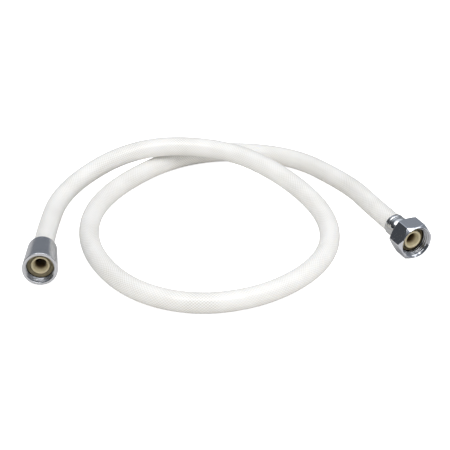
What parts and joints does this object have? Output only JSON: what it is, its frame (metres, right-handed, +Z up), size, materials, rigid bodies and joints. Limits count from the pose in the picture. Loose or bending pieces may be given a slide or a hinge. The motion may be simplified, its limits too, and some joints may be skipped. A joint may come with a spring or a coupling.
{
  "type": "braid-reinforced water supply hose",
  "caption": "Flexible braid-reinforced water supply hose lying in an open loop, with a conical swivel nut at one end and a hexagonal swivel nut at the other.",
  "frame": {"origin": "on the floor, under the middle of the box round the two end fittings", "axes": "+Z up; +X from the cone nut's end toward the hexagon nut's end; both nuts' mouths look toward -Y and the hose's loop lies on the +Y side"},
  "size_m": [0.2764, 0.2263, 0.0295],
  "materials": {
    "jacket": "glossy, slightly translucent white vinyl that shows the braid under it",
    "braid": "white yarn, two crossed spirals",
    "liner": "smooth off-white vinyl",
    "plated_nut": "bright plating",
    "plated_ferrule": "bright plating",
    "tail": "cream moulded nylon, slightly waxy",
    "washer": "dull olive-grey rubber"
  },
  "bodies": {
    "hose": {"hose_jacket": "jacket", "hose_braid": "braid", "hose_liner": "liner", "cone_end_tail": "tail", "cone_end_ferrule": "plated_ferrule", "hex_end_tail": "tail", "hex_end_ferrule": "plated_ferrule"},
    "cone_washer": {"cone_end_washer": "washer"},
    "cone_nut": {"cone_nut": "plated_nut"},
    "hex_washer": {"hex_end_washer": "washer"},
    "hex_nut": {"hex_nut": "plated_nut"}
  },
  "joints": [
    {"name": "cone_nut_spin", "type": "hinge", "parent": "hose", "child": "cone_washer", "pos_m": [-0.12636, -0.02652, 0.01153], "axis": [0.0522, -0.9965, 0.0654], "continuous": true},
    {"name": "cone_nut_slide", "type": "slide", "parent": "cone_washer", "child": "cone_nut", "axis": [0.0522, -0.9965, 0.0654], "range_m": [-0.008, 0.0025]},
    {"name": "hex_nut_spin", "type": "hinge", "parent": "hose", "child": "hex_washer", "pos_m": [0.12401, 0.0077, 0.012], "axis": [0.4462, -0.8949, 0], "continuous": true},
    {"name": "hex_nut_slide", "type": "slide", "parent": "hex_washer", "child": "hex_nut", "axis": [0.4462, -0.8949, 0], "range_m": [-0.004, 0]}
  ]
}
